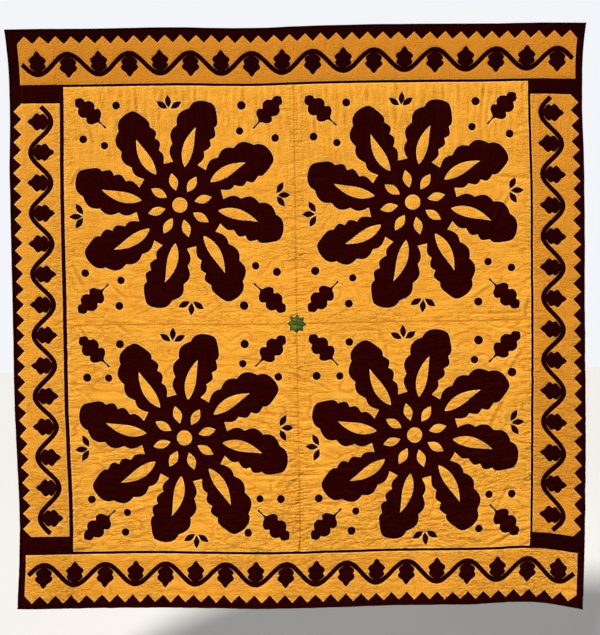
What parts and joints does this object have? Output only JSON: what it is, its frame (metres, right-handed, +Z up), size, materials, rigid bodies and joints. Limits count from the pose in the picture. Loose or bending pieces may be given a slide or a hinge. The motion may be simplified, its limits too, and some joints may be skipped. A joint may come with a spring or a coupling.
{
  "type": "bed quilt",
  "caption": "Square appliqued bed quilt hung flat by its top edge: gold blocks with dark feather wreaths, dark borders with toothed gold bands and vines",
  "frame": {"origin": "middle of the top edge of the hanging quilt, half way through its thickness", "axes": "+X to the viewer's right along the quilt, +Y from its face to its back, +Z up"},
  "size_m": [2.274, 0.0291, 2.2869],
  "materials": {
    "gold_cotton": "plain-woven quilting cotton, matt, puckered by close hand quilting",
    "oxblood_cotton": "plain-woven quilting cotton, matt, very dark red-brown",
    "green_cotton": "small-printed green cotton, matt"
  },
  "bodies": {
    "root": {"binding_bottom": "oxblood_cotton", "binding_left": "oxblood_cotton", "binding_right": "oxblood_cotton", "binding_top": "oxblood_cotton", "border_bottom": "oxblood_cotton", "border_left": "oxblood_cotton", "border_right": "oxblood_cotton", "border_top": "oxblood_cotton", "centre_star": "green_cotton", "corner_leaf_bottom_left_lower_left": "oxblood_cotton", "corner_leaf_bottom_left_lower_right": "oxblood_cotton", "corner_leaf_bottom_left_upper_left": "oxblood_cotton", "corner_leaf_bottom_left_upper_right": "oxblood_cotton", "corner_leaf_bottom_right_lower_left": "oxblood_cotton", "corner_leaf_bottom_right_lower_right": "oxblood_cotton", "corner_leaf_bottom_right_upper_left": "oxblood_cotton", "corner_leaf_bottom_right_upper_right": "oxblood_cotton", "corner_leaf_top_left_lower_left": "oxblood_cotton", "corner_leaf_top_left_lower_right": "oxblood_cotton", "corner_leaf_top_left_upper_left": "oxblood_cotton", "corner_leaf_top_left_upper_right": "oxblood_cotton", "corner_leaf_top_right_lower_left": "oxblood_cotton", "corner_leaf_top_right_lower_right": "oxblood_cotton", "corner_leaf_top_right_upper_left": "oxblood_cotton", "corner_leaf_top_right_upper_right": "oxblood_cotton", "feather_wreath_bottom_left": "oxblood_cotton", "feather_wreath_bottom_right": "oxblood_cotton", "feather_wreath_top_left": "oxblood_cotton", "feather_wreath_top_right": "oxblood_cotton", "field_block_bottom_left": "gold_cotton", "field_block_bottom_right": "gold_cotton", "field_block_top_left": "gold_cotton", "field_block_top_right": "gold_cotton", "gold_band_bottom": "gold_cotton", "gold_band_left": "gold_cotton", "gold_band_right": "gold_cotton", "gold_band_top": "gold_cotton", "strip_bottom": "oxblood_cotton", "strip_left": "oxblood_cotton", "strip_right": "oxblood_cotton", "strip_top": "oxblood_cotton", "vine_bottom": "oxblood_cotton", "vine_left": "oxblood_cotton", "vine_right": "oxblood_cotton", "vine_top": "oxblood_cotton"}
  },
  "joints": []
}
